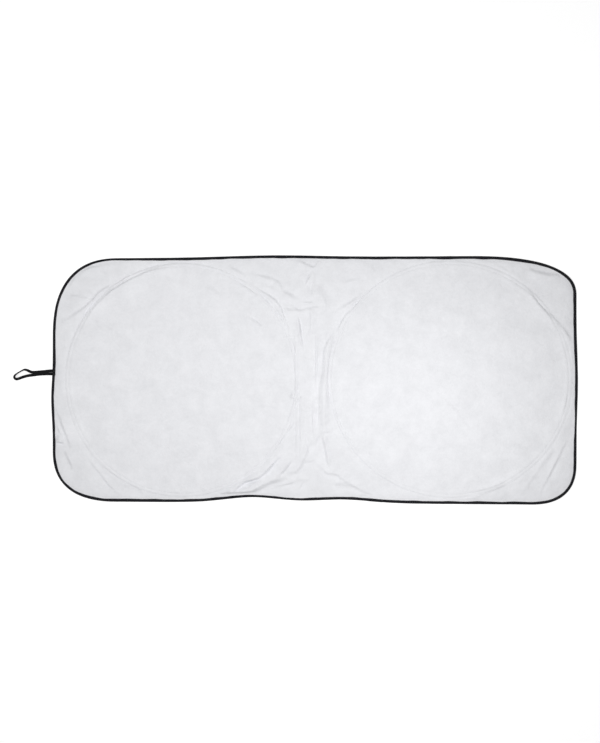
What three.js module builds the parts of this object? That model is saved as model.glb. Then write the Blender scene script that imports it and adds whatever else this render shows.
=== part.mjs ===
// A windscreen sunshade, opened out and lying flat with its glass side up.
//
// One sheet of white non-woven cloth is held open by two sprung wire hoops. Each hoop runs in a
// channel between the cloth and a tape sewn to its back, and its two ends meet in a crimped
// ferrule. A folded tape binds the edge all round. A flat elastic loop on the left end holds the
// sunshade closed once it is twisted and folded up.
//
// Millimetres. +X runs along the length, +Y across it, and +Z up from the surface it lies on.

import * as THREE from 'three';

// Panel, between its straight edges
const panelLength = 1495;
const panelHeight = 702;
const clothThickness = 0.4;
const clearance = 0.3;

// Each corner bends from its long edge to its short end as a quarter of a superellipse
const cornerSquareness = 2.5;
const corners = [
  { x: 1, y: 1, along: 310, down: 115 },
  { x: -1, y: 1, along: 195, down: 230 },
  { x: -1, y: -1, along: 190, down: 150 },
  { x: 1, y: -1, along: 130, down: 120 },
];

// The edges aren't straight: each bow moves an edge by up to push, along +Y or +X, near its place
const longEdgeBows = [
  { y: 1, at: -110, push: 5.5, reach: 130 },
  { y: -1, at: -165, push: 15.5, reach: 80 },
  { y: -1, at: 90, push: 10.5, reach: 80 },
];
const endBows = [
  { x: -1, at: -55, push: -4.5, reach: 50 },
  { x: 1, at: 0, push: 4, reach: 75 },
];
const edgeStep = 25;

// Binding: a tape folded in a U over the cloth's edge
const bindingWidth = 8;
const bindingThickness = 0.5;

// Hoops
const wireDiameter = 2;
const wireEndGap = 1.5;
const tapeWidth = 13;
const tapeThickness = 0.3;
const tapeToBinding = 5;
const leftHoopRaise = 0;
const rightHoopRaise = 2.5;
const leftEndGap = 41.5;
const rightEndGap = 16.5;
const leastMiddleGap = 30;
const leftHoopStretch = 1;
const rightHoopStretch = 7;
const leftJointAngle = -9.5;
const rightJointAngle = 203.5;
const hoopSteps = 84;
const wireSides = 8;

// Ferrules: sleeves rolled from sheet and crimped over the wire's ends
const ferruleLength = 22;
const ferruleWall = 0.5;
const ferruleSlit = 30;
const ferruleSteps = 4;
const ferruleSides = 9;

// Elastic loop
const elasticWidth = 8.5;
const elasticThickness = 1.2;
const elasticSteps = 56;

// Cloth over the hoops
const ridgeCrestWidth = 2.6;
const ridgeFootWidth = 15;
const discMargin = 30;
const jointRamp = 30;

// Places worked out from those sizes
const halfLength = panelLength / 2;
const halfHeight = panelHeight / 2;
const wireRadius = wireDiameter / 2;
const ferruleRadius = wireRadius + clearance + ferruleWall;
const layHeight = bindingThickness + clearance;
const bindingTop = layHeight + clothThickness + clearance + bindingThickness;
const wireHeight = tapeThickness + clearance + wireRadius;
const jointLift = ferruleRadius - wireRadius;
const crestHeight = wireHeight + wireRadius + clearance;
const roomInHeight = halfHeight - bindingWidth - tapeToBinding - tapeWidth / 2;
const roomInLength = (panelLength - leftEndGap - rightEndGap - leastMiddleGap
  - 2 * (leftHoopStretch + rightHoopStretch)) / 4;
const hoopRadius = Math.min(roomInHeight, roomInLength);
const hoops = [
  {
    side: 'left',
    x: leftEndGap + hoopRadius + leftHoopStretch - halfLength,
    y: leftHoopRaise,
    wide: hoopRadius + leftHoopStretch,
    tall: hoopRadius,
    joint: THREE.MathUtils.degToRad(leftJointAngle),
  },
  {
    side: 'right',
    x: halfLength - rightEndGap - hoopRadius - rightHoopStretch,
    y: rightHoopRaise,
    wide: hoopRadius + rightHoopStretch,
    tall: hoopRadius,
    joint: THREE.MathUtils.degToRad(rightJointAngle),
  },
];
const middle = (hoops[0].x + hoops[0].wide + hoops[1].x - hoops[1].wide) / 2;

// Folds that stay in the cloth round the hoops. A route runs inwards from the corner that x and y
// name; with x 0 it runs from the middle between the hoops, and with y 0 from the centre line.
const folds = [
  { x: -1, y: 1, height: 6, reach: 15, route: [[20, 186], [97, 136], [157, 88], [240, 36]] },
  { x: -1, y: 1, height: 4, reach: 13, route: [[48, 107], [70, 111], [108, 120]] },
  { x: -1, y: -1, height: 7, reach: 15, route: [[10, 268], [31, 223], [45, 189], [57, 150]] },
  { x: -1, y: -1, height: 5, reach: 14, route: [[39, 146], [55, 111], [61, 88]] },
  { x: -1, y: -1, height: 5, reach: 13, route: [[108, 127], [143, 82], [173, 44], [196, 23]] },
  { x: 1, y: 1, height: 6, reach: 15, route: [[130, 102], [102, 142], [62, 181], [14, 242]] },
  { x: 1, y: 1, height: 5, reach: 13, route: [[135, 43], [80, 61], [45, 58]] },
  { x: 1, y: -1, height: 6, reach: 14, route: [[18, 207], [48, 146], [88, 66], [103, 21]] },
  { x: 1, y: -1, height: 5, reach: 12, route: [[65, 156], [103, 107], [143, 50], [162, 25]] },
  { x: 0, y: -1, height: 9, reach: 14, route: [[-70, 74], [-118, 57], [-168, 33], [-200, 23]] },
  { x: 0, y: -1, height: 6, reach: 13, route: [[-98, 117], [-138, 82], [-183, 57], [-250, 24]] },
  { x: 0, y: -1, height: 5, reach: 12, route: [[-48, 60], [-80, 49], [-122, 44]] },
  { x: 0, y: -1, height: 7, reach: 12, route: [[4, 190], [-13, 155], [-33, 105], [-60, 83], [-84, 83]] },
  { x: 0, y: -1, height: 7, reach: 14, route: [[2, 115], [34, 92], [62, 87], [107, 61], [175, 27]] },
  { x: 0, y: -1, height: 5, reach: 12, route: [[58, 54], [85, 54], [112, 39]] },
  { x: 0, y: 1, height: 5, reach: 12, route: [[-215, 54], [-148, 90], [-92, 148], [-61, 220]] },
  { x: 0, y: 1, height: 5, reach: 14, route: [[-185, 49], [-100, 75], [-60, 122]] },
  { x: 0, y: 1, height: 6, reach: 12, route: [[-42, 13], [-5, 29], [26, 14]] },
  { x: 0, y: 1, height: 5, reach: 12, route: [[3, 40], [-8, 57], [-23, 86]] },
  { x: 0, y: 1, height: 6, reach: 15, route: [[-70, 137], [-30, 153], [10, 142], [38, 146]] },
  { x: 0, y: 1, height: 5, reach: 14, route: [[60, 162], [102, 137], [160, 95]] },
  { x: 0, y: 0, height: 5, reach: 11, route: [[0, 200], [2, 176], [-4, 120]] },
  { x: 0, y: 0, height: 5, reach: 10, route: [[-40, 148], [-33, 115], [-21, 70]] },
  { x: 0, y: 0, height: 5, reach: 10, route: [[66, 155], [46, 117], [27, 45]] },
  { x: 0, y: 0, height: 7, reach: 12, route: [[40, 8], [27, -22], [28, -138]] },
];
const foldStep = 17;
const foldEndShare = 0.35;
const foldEndRise = 2.2;
const foldRoom = 6.5;
const foldCalmNear = 11;
const foldCalmFar = 20;
const edgeFoldShare = 0.2;
const edgeFoldReach = 40;

// Loose cloth between the folds
const billowHeight = 1.6;
const billowLength = 95;
const billowSlant = 0.6;
const fillStep = 50;
const fillRoom = 22;

// Rows of points inside a hoop, where the cloth lies flat
const discRows = [
  { depth: 0.35, count: 18 },
  { depth: 0.7, count: 6 },
];

// The elastic's route from its lower sewn end: [out from the panel's end, up from the centre line,
// degrees that the band leans from flat]
const elasticRoute = [
  [-8, 17.5, 0],
  [2, 17.5, 0],
  [23, 17.2, 0],
  [43, 16, 0],
  [57, 14.2, 2],
  [70, 12.6, 10],
  [80, 10.4, 18],
  [91, 7, 24],
  [100, 3.6, 26],
  [106.5, 2.3, 26],
  [111, 4.2, 25],
  [112.9, 8.4, 26],
  [111, 13, 38],
  [105, 18, 52],
  [97, 23, 58],
  [90, 27, 58],
  [83, 29.8, 52],
  [76, 28.9, 44],
  [70, 26, 32],
  [63, 22.9, 20],
  [55, 22.3, 15],
  [43, 23, 13.5],
  [23, 24.8, 12],
  [12, 25.9, 8],
  [2, 26.3, 0],
  [-8, 26.3, 0],
];
const elasticDropStart = 4;
const elasticDropEnd = 24;

// Maths for the forms

function bump(value, reach) {
  return Math.exp(-0.5 * (value / reach) ** 2);
}

function between(from, to, share) {
  return from + (to - from) * share;
}

// A curve through plan points, cut into equal steps
function evenSteps(points, step, closed) {
  const curve = new THREE.CatmullRomCurve3(points, closed, 'centripetal');
  curve.arcLengthDivisions = points.length * 8;
  const count = Math.max(2, Math.round(curve.getLength() / step));
  const even = curve.getSpacedPoints(count);
  if (closed) {
    even.pop();
  }
  return even;
}

// Outline of the panel, anticlockwise

function bowed(x, y) {
  let pushX = 0;
  let pushY = 0;
  for (const bow of longEdgeBows) {
    pushY += bow.push * bump(x - bow.at, bow.reach) * Math.max(0, (bow.y * y) / halfHeight);
  }
  for (const bow of endBows) {
    pushX += bow.push * bump(y - bow.at, bow.reach) * Math.max(0, (bow.x * x) / halfLength);
  }
  return new THREE.Vector3(x + pushX, y + pushY, 0);
}

function cornerPoint(corner, share) {
  const angle = (share * Math.PI) / 2;
  const power = 2 / cornerSquareness;
  const x = halfLength - corner.along * (1 - Math.sin(angle) ** power);
  const y = halfHeight - corner.down * (1 - Math.cos(angle) ** power);
  return [corner.x * x, corner.y * y];
}

function makeOutline() {
  const cornerSteps = 16;
  const edgeSteps = 40;
  const plain = [];
  for (const corner of corners) {
    const fromEnd = corner.x * corner.y > 0;
    for (let i = 0; i <= cornerSteps; i += 1) {
      const share = i / cornerSteps;
      plain.push(cornerPoint(corner, fromEnd ? 1 - share : share));
    }
  }
  const points = [];
  for (let i = 0; i < plain.length; i += 1) {
    const [x, y] = plain[i];
    const [nextX, nextY] = plain[(i + 1) % plain.length];
    const steps = (i + 1) % (cornerSteps + 1) === 0 ? edgeSteps : 1;
    for (let j = 0; j < steps; j += 1) {
      points.push(bowed(between(x, nextX, j / steps), between(y, nextY, j / steps)));
    }
  }
  return evenSteps(points, edgeStep, true);
}

const outline = makeOutline();

// The direction to the left of travel, which is inwards on the outline
function leftOf(points, index, closed) {
  const last = points.length - 1;
  const before = closed ? points[(index + last) % points.length] : points[Math.max(0, index - 1)];
  const after = closed ? points[(index + 1) % points.length] : points[Math.min(last, index + 1)];
  return new THREE.Vector3(before.y - after.y, after.x - before.x, 0).normalize();
}

function insetOutline(distance) {
  return outline.map((point, i) => point.clone().addScaledVector(leftOf(outline, i, true), distance));
}

function distanceToOutline(x, y) {
  let nearest = Infinity;
  for (let i = 0; i < outline.length; i += 1) {
    const start = outline[i];
    const end = outline[(i + 1) % outline.length];
    const alongX = end.x - start.x;
    const alongY = end.y - start.y;
    const share = ((x - start.x) * alongX + (y - start.y) * alongY) / (alongX ** 2 + alongY ** 2);
    const held = THREE.MathUtils.clamp(share, 0, 1);
    nearest = Math.min(nearest, Math.hypot(x - start.x - alongX * held, y - start.y - alongY * held));
  }
  return nearest;
}

function isInside(polygon, x, y) {
  let inside = false;
  for (let i = 0; i < polygon.length; i += 1) {
    const a = polygon[i];
    const b = polygon[(i + 1) % polygon.length];
    if (a.y > y !== b.y > y && x < a.x + ((b.x - a.x) * (y - a.y)) / (b.y - a.y)) {
      inside = !inside;
    }
  }
  return inside;
}

// Hoops in plan

function hoopPoint(hoop, angle, offset) {
  const x = hoop.x + (hoop.wide + offset) * Math.cos(angle);
  const y = hoop.y + (hoop.tall + offset) * Math.sin(angle);
  return new THREE.Vector3(x, y, 0);
}

function hoopAngle(hoop, x, y) {
  return Math.atan2((y - hoop.y) / hoop.tall, (x - hoop.x) / hoop.wide);
}

// How far a point lies outside the hoop's line, or inside it where negative
function hoopOffset(hoop, x, y) {
  const rim = hoopPoint(hoop, hoopAngle(hoop, x, y), 0);
  return Math.hypot(x - hoop.x, y - hoop.y) - Math.hypot(rim.x - hoop.x, rim.y - hoop.y);
}

// How much of a hoop's extra height at its ferrule is felt at an angle: all of it along the ferrule
// and a margin at each end, and none beyond the ramps
function jointShare(hoop, angle, margin) {
  const turn = Math.atan2(Math.sin(angle - hoop.joint), Math.cos(angle - hoop.joint));
  const beyond = Math.abs(turn) * hoopRadius - ferruleLength / 2 - margin;
  return 1 - THREE.MathUtils.smoothstep(beyond, 0, jointRamp);
}

// Height of the cloth's underside

function foldRoute(fold) {
  const places = fold.route.map(([inX, inY]) => {
    const x = fold.x === 0 ? middle + inX : fold.x * (halfLength - inX);
    const y = fold.y === 0 ? inY : fold.y * (halfHeight - inY);
    return new THREE.Vector3(x, y, 0);
  });
  return evenSteps(places, foldStep, false);
}

const foldRoutes = folds.map((fold) => ({ ...fold, points: foldRoute(fold) }));

// A fold is a tent along its route that dies away at both ends
function foldHeight(fold, x, y) {
  let height = 0;
  const last = fold.points.length - 1;
  for (let i = 0; i < last; i += 1) {
    const start = fold.points[i];
    const end = fold.points[i + 1];
    const alongX = end.x - start.x;
    const alongY = end.y - start.y;
    const share = ((x - start.x) * alongX + (y - start.y) * alongY) / (alongX ** 2 + alongY ** 2);
    const held = THREE.MathUtils.clamp(share, 0, 1);
    const away = Math.hypot(x - start.x - alongX * held, y - start.y - alongY * held);
    const fade = Math.min(1, foldEndShare + foldEndRise * Math.sin((Math.PI * (i + held)) / last));
    height = Math.max(height, fold.height * fade * (1 - away / fold.reach));
  }
  return height;
}

function looseHeight(x, y) {
  let calm = 1;
  for (const hoop of hoops) {
    calm *= THREE.MathUtils.smoothstep(hoopOffset(hoop, x, y), foldCalmNear, foldCalmFar);
  }
  if (calm === 0) {
    return 0;
  }
  calm *= between(edgeFoldShare, 1, THREE.MathUtils.smoothstep(distanceToOutline(x, y), 0, edgeFoldReach));
  const across = Math.sin((2 * Math.PI * (x + billowSlant * y)) / billowLength);
  const wave = across * Math.cos((Math.PI * y) / billowLength);
  let height = (billowHeight * (1 + wave)) / 2;
  for (const fold of foldRoutes) {
    height = Math.max(height, foldHeight(fold, x, y));
  }
  return height * calm;
}

function clothHeight(x, y) {
  let height = layHeight + looseHeight(x, y);
  for (const hoop of hoops) {
    const offset = hoopOffset(hoop, x, y);
    const foot = ridgeFootWidth / 2;
    const crest = ridgeCrestWidth / 2;
    if (offset < -foot) {
      const rise = (offset + discMargin) / (discMargin - foot);
      height = layHeight * THREE.MathUtils.clamp(rise, 0, 1);
    } else if (offset < foot) {
      const share = THREE.MathUtils.clamp((foot - Math.abs(offset)) / (foot - crest), 0, 1);
      const span = (2 * Math.PI * hoopRadius) / hoopSteps;
      const top = crestHeight + 2 * jointLift * jointShare(hoop, hoopAngle(hoop, x, y), span);
      height = between(layHeight, top, share);
    }
  }
  return height;
}

const edgeHeights = outline.map((point) => clothHeight(point.x, point.y));

// The sheet: plan points along everything that shapes it, joined by triangles

function sheetPoints() {
  const points = [];
  const add = (x, y, z) => points.push(new THREE.Vector3(x, y, z));
  insetOutline(bindingThickness + clearance).forEach((p, i) => add(p.x, p.y, edgeHeights[i]));
  insetOutline(bindingWidth + clearance).forEach((p, i) => add(p.x, p.y, edgeHeights[i]));
  const rows = [
    { offset: ridgeFootWidth / 2, count: hoopSteps },
    { offset: ridgeCrestWidth / 2, count: hoopSteps },
    { offset: -ridgeCrestWidth / 2, count: hoopSteps },
    { offset: -ridgeFootWidth / 2, count: hoopSteps },
    { offset: -discMargin, count: hoopSteps / 2 },
    ...discRows.map(({ depth, count }) => ({ offset: -hoopRadius * depth, count })),
  ];
  for (const hoop of hoops) {
    add(hoop.x, hoop.y, 0);
    for (const row of rows) {
      for (let i = 0; i < row.count; i += 1) {
        const p = hoopPoint(hoop, (2 * Math.PI * i) / row.count, row.offset);
        add(p.x, p.y, clothHeight(p.x, p.y));
      }
    }
  }
  const offer = (x, y, room) => {
    const clearOfHoops = hoops.every((hoop) => hoopOffset(hoop, x, y) > foldCalmNear);
    if (!clearOfHoops || !isInside(outline, x, y) || distanceToOutline(x, y) < bindingWidth + room) {
      return;
    }
    if (points.every((other) => Math.hypot(other.x - x, other.y - y) > room)) {
      add(x, y, clothHeight(x, y));
    }
  };
  for (const side of [0, 1, -1]) {
    for (const fold of foldRoutes) {
      fold.points.forEach((point, i) => {
        const left = leftOf(fold.points, i, false);
        offer(point.x + left.x * side * fold.reach, point.y + left.y * side * fold.reach, foldRoom);
      });
    }
  }
  for (let x = -halfLength; x < halfLength; x += fillStep) {
    for (let y = -halfHeight; y < halfHeight; y += fillStep) {
      offer(x, y, fillRoom);
    }
  }
  return points;
}

// Delaunay triangles, found by adding one point at a time inside one far larger triangle. A slight
// shift of each point, in the tests alone, keeps four points on one circle from being a tie.
function triangulate(points) {
  const shift = 0.01;
  const sites = points.map((p, i) => ({
    x: p.x + shift * Math.sin(13 * i),
    y: p.y + shift * Math.sin(78 * i),
  }));
  const far = 50 * panelLength;
  const count = sites.length;
  sites.push({ x: -far, y: -far }, { x: far, y: -far }, { x: 0, y: far });

  const withCircle = (a, b, c) => {
    const p = sites[a];
    const bx = sites[b].x - p.x;
    const by = sites[b].y - p.y;
    const cx = sites[c].x - p.x;
    const cy = sites[c].y - p.y;
    const twice = 2 * (bx * cy - by * cx);
    const x = (cy * (bx * bx + by * by) - by * (cx * cx + cy * cy)) / twice;
    const y = (bx * (cx * cx + cy * cy) - cx * (bx * bx + by * by)) / twice;
    return { corners: [a, b, c], x: p.x + x, y: p.y + y, reach: x * x + y * y };
  };

  let triangles = [withCircle(count, count + 1, count + 2)];
  for (let i = 0; i < count; i += 1) {
    const edges = new Map();
    const kept = [];
    for (const triangle of triangles) {
      const reach = (sites[i].x - triangle.x) ** 2 + (sites[i].y - triangle.y) ** 2;
      if (reach > triangle.reach) {
        kept.push(triangle);
        continue;
      }
      const [a, b, c] = triangle.corners;
      for (const [from, to] of [[a, b], [b, c], [c, a]]) {
        if (!edges.delete(`${to} ${from}`)) {
          edges.set(`${from} ${to}`, [from, to]);
        }
      }
    }
    for (const [from, to] of edges.values()) {
      kept.push(withCircle(from, to, i));
    }
    triangles = kept;
  }
  return triangles.map((triangle) => triangle.corners).filter((three) => three.every((k) => k < count));
}

function solid(positions, index) {
  const geometry = new THREE.BufferGeometry();
  geometry.setAttribute('position', new THREE.Float32BufferAttribute(positions, 3));
  geometry.setIndex(index);
  geometry.computeVertexNormals();
  return geometry;
}

function sheetGeometry() {
  const points = sheetPoints();
  const count = points.length;
  const rim = outline.length;
  const border = points.slice(0, rim);
  const positions = [];
  for (const lift of [0, clothThickness]) {
    for (const p of points) {
      positions.push(p.x, p.y, p.z + lift);
    }
  }
  const index = [];
  for (const [a, b, c] of triangulate(points)) {
    const x = (points[a].x + points[b].x + points[c].x) / 3;
    const y = (points[a].y + points[b].y + points[c].y) / 3;
    const alongBorder = Math.max(a, b, c) < rim;
    if (!alongBorder && isInside(border, x, y)) {
      index.push(a + count, b + count, c + count);
      index.push(a, c, b);
    }
  }
  for (let i = 0; i < rim; i += 1) {
    const next = (i + 1) % rim;
    index.push(i, next, next + count);
    index.push(i, next + count, i + count);
  }
  return solid(positions, index);
}

// A sweep. Each station has a centre, a level direction to its left and a section, whose
// anticlockwise corners are [to the left, up].
function sweep(stations, closed) {
  const sides = stations[0].section.length;
  const positions = [];
  for (const { centre, left, section } of stations) {
    for (const [across, up] of section) {
      positions.push(centre.x + left.x * across, centre.y + left.y * across, centre.z + up);
    }
  }
  const index = [];
  const last = stations.length - 1;
  for (let i = 0; i < (closed ? last + 1 : last); i += 1) {
    const here = i * sides;
    const there = ((i + 1) % stations.length) * sides;
    for (let k = 0; k < sides; k += 1) {
      const next = (k + 1) % sides;
      index.push(here + k, here + next, there + next);
      index.push(here + k, there + next, there + k);
    }
  }
  if (!closed) {
    const end = last * sides;
    const first = stations[0].section.map(([across, up]) => new THREE.Vector2(across, up));
    for (const [a, b, c] of THREE.ShapeUtils.triangulateShape(first, [])) {
      index.push(a, c, b);
      index.push(end + a, end + b, end + c);
    }
  }
  return solid(positions, index);
}

function roundSection(radius, sides) {
  const section = [];
  for (let i = 0; i < sides; i += 1) {
    const angle = (2 * Math.PI * i) / sides;
    section.push([radius * Math.cos(angle), radius * Math.sin(angle)]);
  }
  return section;
}

// Stations along a hoop from one angle to another, at the heights that a function gives
function hoopStations(hoop, from, to, steps, heightAt, section) {
  const stations = [];
  for (let i = 0; i <= steps; i += 1) {
    const angle = between(from, to, i / steps);
    const centre = hoopPoint(hoop, angle, 0);
    const left = new THREE.Vector3(-hoop.tall * Math.cos(angle), -hoop.wide * Math.sin(angle), 0);
    centre.z = heightAt(angle);
    stations.push({ centre, left: left.normalize(), section });
  }
  return stations;
}

function bindingGeometry() {
  const bottom = -layHeight;
  const top = bindingTop - layHeight;
  const section = [
    [0, bottom],
    [bindingWidth, bottom],
    [bindingWidth, bottom + bindingThickness],
    [bindingThickness, bottom + bindingThickness],
    [bindingThickness, top - bindingThickness],
    [bindingWidth, top - bindingThickness],
    [bindingWidth, top],
    [0, top],
  ];
  const stations = outline.map((point, i) => ({
    centre: new THREE.Vector3(point.x, point.y, edgeHeights[i]),
    left: leftOf(outline, i, true),
    section,
  }));
  return sweep(stations, true);
}

function tapeGeometry(hoop) {
  const half = tapeWidth / 2;
  const section = [[-half, 0], [half, 0], [half, tapeThickness], [-half, tapeThickness]];
  const stations = hoopStations(hoop, 0, 2 * Math.PI, hoopSteps, () => 0, section);
  stations.pop();
  return sweep(stations, true);
}

function wireGeometry(hoop) {
  const halfGap = wireEndGap / 2 / hoopRadius;
  const from = hoop.joint + halfGap;
  const to = hoop.joint + 2 * Math.PI - halfGap;
  const heightAt = (angle) => wireHeight + jointLift * jointShare(hoop, angle, 0);
  const section = roundSection(wireRadius, wireSides);
  return sweep(hoopStations(hoop, from, to, hoopSteps, heightAt, section), false);
}

// A rolled sleeve with its slit underneath
function ferruleGeometry(hoop) {
  const slit = THREE.MathUtils.degToRad(ferruleSlit);
  const section = [];
  for (const radius of [ferruleRadius, ferruleRadius - ferruleWall]) {
    for (let i = 0; i <= ferruleSides; i += 1) {
      const share = radius === ferruleRadius ? i / ferruleSides : 1 - i / ferruleSides;
      const angle = (slit - Math.PI) / 2 + share * (2 * Math.PI - slit);
      section.push([radius * Math.cos(angle), radius * Math.sin(angle)]);
    }
  }
  const half = ferruleLength / 2 / hoopRadius;
  const heightAt = () => wireHeight + jointLift;
  const stations = hoopStations(hoop, hoop.joint - half, hoop.joint + half, ferruleSteps, heightAt, section);
  return sweep(stations, false);
}

// The elastic's two ends lie on the binding, where they are sewn down. Its strands lie flat on
// the surface beside each other, and the band tilts up towards its edge to bend round at the tip.
function elasticGeometry() {
  const plan = elasticRoute.map(([out, up]) => new THREE.Vector3(-halfLength - out, up, 0));
  const curve = new THREE.CatmullRomCurve3(plan, false, 'centripetal');
  const leans = new THREE.SplineCurve(elasticRoute.map(([, , lean], i) => new THREE.Vector2(i, lean)));
  const halfWidth = elasticWidth / 2;
  const halfThick = elasticThickness / 2;
  const band = [
    [-halfWidth, -halfThick / 2],
    [-halfWidth + halfThick, -halfThick],
    [halfWidth - halfThick, -halfThick],
    [halfWidth, -halfThick / 2],
    [halfWidth, halfThick / 2],
    [halfWidth - halfThick, halfThick],
    [-halfWidth + halfThick, halfThick],
    [-halfWidth, halfThick / 2],
  ];
  const centres = [];
  const sections = [];
  for (let i = 0; i <= elasticSteps; i += 1) {
    const share = curve.getUtoTmapping(i / elasticSteps);
    const lean = THREE.MathUtils.degToRad(THREE.MathUtils.clamp(leans.getPoint(share).y, 0, 90));
    const centre = curve.getPoint(share);
    const out = -halfLength - centre.x;
    const overEdge = 1 - THREE.MathUtils.smoothstep(out, elasticDropStart, elasticDropEnd);
    centre.z = halfWidth * Math.sin(lean) + halfThick * Math.cos(lean) + (bindingTop + clearance) * overEdge;
    centres.push(centre);
    sections.push(band.map(([across, up]) => [
      across * Math.cos(lean) + up * Math.sin(lean),
      up * Math.cos(lean) - across * Math.sin(lean),
    ]));
  }
  const stations = centres.map((centre, i) => ({
    centre,
    left: leftOf(centres, i, false),
    section: sections[i],
  }));
  return sweep(stations, false);
}

// The object

function finish(color, roughness, metalness = 0) {
  return new THREE.MeshStandardMaterial({ color, roughness, metalness });
}

const whiteCloth = finish(0xe9eaee, 0.9);
const whiteTape = finish(0xe2e3e8, 0.85);
const blackTape = finish(0x1c1c1f, 0.85);
const springSteel = finish(0x8f9296, 0.35, 1);
const platedSteel = finish(0xb9bbbd, 0.3, 1);
const blackElastic = finish(0x18181a, 0.8);

const sunshade = new THREE.Group();

function addPiece(name, geometry, material) {
  const mesh = new THREE.Mesh(geometry, material);
  mesh.name = name;
  sunshade.add(mesh);
}

addPiece('sheet', sheetGeometry(), whiteCloth);
addPiece('edge_binding', bindingGeometry(), blackTape);
for (const hoop of hoops) {
  addPiece(`channel_tape_${hoop.side}`, tapeGeometry(hoop), whiteTape);
  addPiece(`hoop_wire_${hoop.side}`, wireGeometry(hoop), springSteel);
  addPiece(`hoop_ferrule_${hoop.side}`, ferruleGeometry(hoop), platedSteel);
}
addPiece('elastic_loop', elasticGeometry(), blackElastic);

// The bound edge's bows aren't even, so the panel is centred by what it measures
const reachX = outline.map((point) => point.x);
const reachY = outline.map((point) => point.y);
sunshade.position.x = -(Math.min(...reachX) + Math.max(...reachX)) / 2;
sunshade.position.y = -(Math.min(...reachY) + Math.max(...reachY)) / 2;

export default sunshade;
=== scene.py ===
import math

import bpy
import numpy as np
from mathutils import Matrix, Vector, geometry, kdtree


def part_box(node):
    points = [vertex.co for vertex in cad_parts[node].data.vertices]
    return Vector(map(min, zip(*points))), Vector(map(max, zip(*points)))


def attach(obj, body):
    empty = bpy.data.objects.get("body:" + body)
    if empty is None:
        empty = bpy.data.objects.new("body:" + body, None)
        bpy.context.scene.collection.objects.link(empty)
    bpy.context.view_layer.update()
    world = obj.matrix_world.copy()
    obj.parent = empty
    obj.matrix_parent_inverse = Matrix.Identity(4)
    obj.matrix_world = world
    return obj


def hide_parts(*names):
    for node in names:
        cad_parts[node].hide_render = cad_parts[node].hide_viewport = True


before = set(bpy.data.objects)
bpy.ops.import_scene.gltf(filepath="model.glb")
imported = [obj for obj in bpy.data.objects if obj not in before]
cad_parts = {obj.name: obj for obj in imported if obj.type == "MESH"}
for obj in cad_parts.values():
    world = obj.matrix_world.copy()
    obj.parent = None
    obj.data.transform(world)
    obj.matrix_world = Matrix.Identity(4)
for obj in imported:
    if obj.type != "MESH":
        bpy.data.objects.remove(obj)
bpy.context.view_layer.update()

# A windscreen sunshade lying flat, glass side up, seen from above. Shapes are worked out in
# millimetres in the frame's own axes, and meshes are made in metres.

MM = 0.001

# Panel
PANEL_LENGTH = 1495.0
PANEL_HEIGHT = 702.0
CLOTH_THICKNESS = 0.4
CLEARANCE = 0.3
CORNER_POINTS = 41
SIDE_POINTS = 80

# Each corner's curve takes up this much of the long edge and of the panel's end. A squareness of 2
# would make it an ellipse.
CORNER_SQUARENESS = 2.5
CORNERS = (
    {"x": 1, "y": 1, "along": 310.0, "down": 115.0},
    {"x": -1, "y": 1, "along": 195.0, "down": 230.0},
    {"x": -1, "y": -1, "along": 190.0, "down": 150.0},
    {"x": 1, "y": -1, "along": 130.0, "down": 120.0},
)

# Where the edges bow out, or in where the push is negative
LONG_EDGE_BOWS = (
    {"y": 1, "at": -110.0, "push": 5.5, "reach": 130.0},
    {"y": -1, "at": -165.0, "push": 15.5, "reach": 80.0},
    {"y": -1, "at": 90.0, "push": 10.5, "reach": 80.0},
)
END_BOWS = (
    {"x": -1, "at": -55.0, "push": -4.5, "reach": 50.0},
    {"x": 1, "at": 0.0, "push": 4.0, "reach": 75.0},
)

# Binding. Its width on the cloth wavers a little all the way round, and is wider or narrower by
# more at a few places on the edge. Its ends overlap at a join in the lower edge.
BINDING_WIDTH = 8.0
BINDING_THICKNESS = 0.5
BINDING_STEP = 4.0
BINDING_BULGE = 0.25
BINDING_ROUNDING = 0.2
BINDING_SHOULDER = 0.25
BINDING_TURN = 0.8
BINDING_SLACK = 0.1
BINDING_PLACES = (
    {"x": -574.0, "y": 351.0, "wider": -1.8, "reach": 40.0},
    {"x": 560.0, "y": 330.0, "wider": 1.0, "reach": 90.0},
    {"x": 747.0, "y": 190.0, "wider": 1.2, "reach": 60.0},
    {"x": 747.0, "y": -120.0, "wider": -1.8, "reach": 30.0},
    {"x": -85.0, "y": -340.0, "wider": -1.6, "reach": 60.0},
    {"x": -560.0, "y": -345.0, "wider": 1.0, "reach": 70.0},
    {"x": -747.0, "y": 54.0, "wider": 1.6, "reach": 25.0},
)
BINDING_JOIN = {"x": 181.0, "y": -347.0, "length": 40.0, "lap": 0.45}

# Channels and hoops. A joint is where a sleeve holds the wire's two ends, in degrees round the
# hoop, and the cloth rises over it.
TAPE_WIDTH = 13.0
TAPE_THICKNESS = 0.3
WIRE_RADIUS = 1.0
WIRE_SIDES = 14
WIRE_GAP = 1.5
FERRULE_WALL = 0.5
FERRULE_LENGTH = 22.0
FERRULE_SLIT = math.radians(30.0)
FERRULE_CRIMP = 0.12
FERRULE_CRIMP_EVERY = 5.5
FERRULE_RINGS = 23
FERRULE_SIDES = 25
JOINT_ANGLES = {"left": -9.5, "right": 203.5}
JOINT_RAMP = 30.0
JOINT_MARGIN = 12.0
HOOP_POINTS = 360
CHANNEL_STITCH_OFFSET = 5.4
TAPE_LOW_OFFSET = 0.6 * CHANNEL_STITCH_OFFSET

# Elastic loop
ELASTIC_WIDTH = 8.5
ELASTIC_THICKNESS = 1.2
ELASTIC_SIDES = 20
ELASTIC_ROUNDING = (0.35, 0.5)
ELASTIC_POINTS = 260
ELASTIC_CURVE_STEPS = 20

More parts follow.
